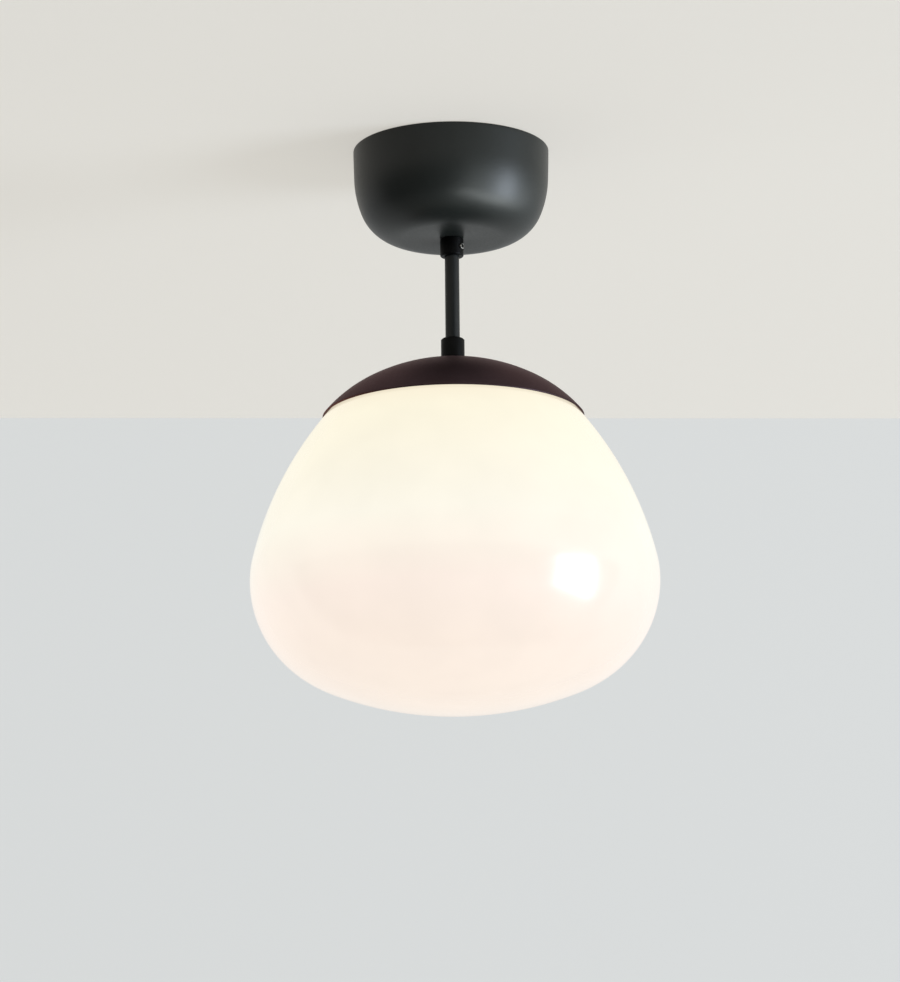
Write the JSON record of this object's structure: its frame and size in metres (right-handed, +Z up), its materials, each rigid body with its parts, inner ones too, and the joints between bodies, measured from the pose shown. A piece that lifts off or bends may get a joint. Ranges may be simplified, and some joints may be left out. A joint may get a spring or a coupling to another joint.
{
  "type": "ceiling light",
  "caption": "Ceiling light: deep dark metal cup, thin stem with a set-screwed collar, shallow dark dome and a wide opal glass shade held by spring clips round a screw-base lamp.",
  "frame": {"origin": "on the lamp's axis in the plane of the ceiling, midway between the strap's two fixing slots", "axes": "+Z up along the stem towards the ceiling, -Y towards the viewer of the picture, X along the strap"},
  "size_m": [0.28, 0.28, 0.3973],
  "materials": {
    "dark_metal": "satin charcoal powder coat",
    "dark_dome": "satin dark bronze-black powder coat",
    "opal_glass": "blown opal glass, glossy, warm white when lit",
    "zinc_steel": "zinc-plated pressed steel",
    "bright_steel": "bright nickel-plated steel",
    "brass": "plain brass",
    "white_plastic": "white moulded plastic",
    "black_plastic": "black moulded thermoset",
    "porcelain": "white glazed porcelain",
    "silicone": "translucent silicone rubber",
    "bulb_opal": "frosted opal diffuser, lit",
    "wire_brown": "brown insulation",
    "wire_blue": "blue insulation",
    "wire_green_yellow": "green and yellow insulation"
  },
  "bodies": {
    "fixture": {"strap_bracket": "zinc_steel", "strap_nut_upper": "zinc_steel", "strap_nut_lower": "zinc_steel", "star_washer": "zinc_steel", "terminal_block": "white_plastic", "terminal_barrels": "brass", "terminal_screws": "zinc_steel", "block_screw": "zinc_steel", "earth_screw": "brass", "earth_tag": "brass", "wire_live": "wire_brown", "wire_neutral": "wire_blue", "wire_earth": "wire_green_yellow", "stem_tube": "dark_metal", "lower_coupler": "dark_metal", "dome_cap": "dark_dome", "dome_nut": "zinc_steel", "dome_gasket": "silicone", "gallery_spacer": "zinc_steel", "gallery": "zinc_steel", "gallery_nut": "zinc_steel", "spring_clip_a": "bright_steel", "spring_clip_b": "bright_steel", "spring_clip_c": "bright_steel", "clip_rivets": "zinc_steel", "clip_sleeves": "silicone", "holder_cap": "black_plastic", "holder_lock_screw": "zinc_steel", "holder_skirt": "black_plastic", "holder_insert": "porcelain", "holder_shell": "brass", "holder_terminals": "brass", "holder_terminal_screws": "zinc_steel", "holder_centre_contact": "brass"},
    "collar": {"stop_collar": "dark_metal"},
    "set_screw": {"collar_set_screw": "bright_steel"},
    "cup": {"ceiling_cup": "dark_metal"},
    "shade": {"glass_shade": "opal_glass"},
    "bulb": {"bulb_globe": "bulb_opal", "bulb_housing": "white_plastic", "bulb_screw_shell": "bright_steel", "bulb_insulator": "black_plastic", "bulb_tip": "bright_steel"}
  },
  "joints": [
    {"name": "collar_slide", "type": "slide", "parent": "fixture", "child": "collar", "axis": [0, 0, -1], "range_m": [0, 0.057]},
    {"name": "cup_slide", "type": "slide", "parent": "fixture", "child": "cup", "axis": [0, 0, -1], "range_m": [0, 0.057]},
    {"name": "set_screw_turn", "type": "hinge", "parent": "collar", "child": "set_screw", "pos_m": [0, 0, -0.0706], "axis": [0.809, -0.5878, 0], "range_deg": [0, 360]},
    {"name": "shade_drop", "type": "slide", "parent": "fixture", "child": "shade", "axis": [0, 0, -1], "range_m": [0, 0.16], "deforming": ["spring_clip_a", "spring_clip_b", "spring_clip_c", "clip_sleeves"]},
    {"name": "bulb_unscrew", "type": "slide", "parent": "fixture", "child": "bulb", "axis": [0, 0, -1], "range_m": [0, 0.028]}
  ],
  "couplings": [
    {"joint": "cup_slide", "follows": "collar_slide", "ratio": 1}
  ]
}
